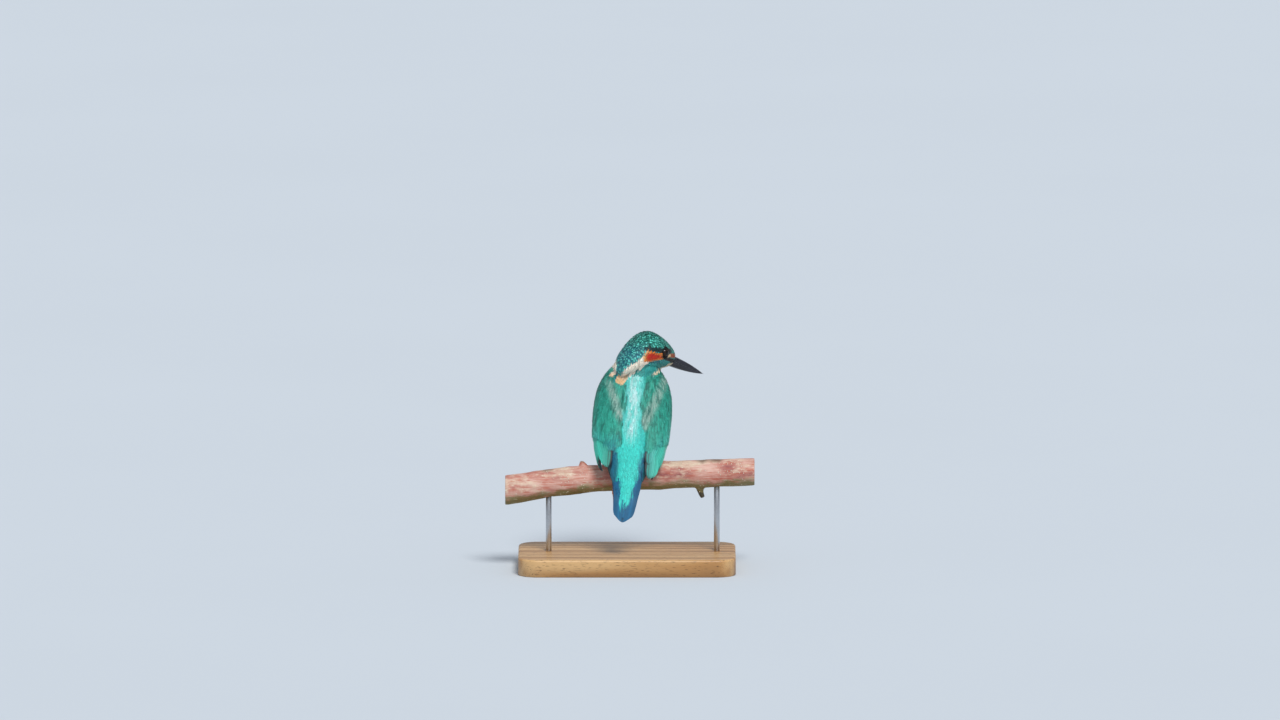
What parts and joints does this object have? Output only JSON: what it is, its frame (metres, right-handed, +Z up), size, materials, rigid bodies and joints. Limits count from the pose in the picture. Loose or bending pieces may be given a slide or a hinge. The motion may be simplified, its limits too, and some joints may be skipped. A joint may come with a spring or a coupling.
{
  "type": "kingfisher model",
  "caption": "Life-size still model of a kingfisher, seen perched upright on a cut branch with its head turned, held by a plain base with rods.",
  "frame": {"origin": "centre of the flat underside of the display base", "axes": "+Z up; the bird's body faces -Y, its left side is +X and its head is turned towards -X; the perch runs along X"},
  "size_m": [0.172, 0.088, 0.1643],
  "materials": {
    "crown": "turquoise-barred crown feathers",
    "mantle": "azure back and orange belly feathers",
    "wing": "green-blue wing feathers",
    "tail": "blue tail feathers",
    "foot": "scaly coral-red skin",
    "claw": "dark horn",
    "bill": "black horn with a soft sheen",
    "eye": "very dark brown, wet gloss",
    "bark": "smooth red-brown bark with pale breathing pores",
    "oak": "stained and oiled wood",
    "steel": "brushed rod"
  },
  "bodies": {
    "root": {"head": "crown", "neck": "crown", "trunk": "mantle", "tail": "tail", "wing_left": "wing", "wing_right": "wing", "bill_upper": "bill", "bill_lower": "bill", "eye_left": "eye", "eye_right": "eye", "leg_left": "foot", "leg_right": "foot", "claw_left_inner": "claw", "claw_left_middle": "claw", "claw_left_outer": "claw", "claw_left_hind": "claw", "claw_right_inner": "claw", "claw_right_middle": "claw", "claw_right_outer": "claw", "claw_right_hind": "claw", "perch": "bark", "stand_base": "oak", "stand_rod_left": "steel", "stand_rod_right": "steel"}
  },
  "joints": []
}
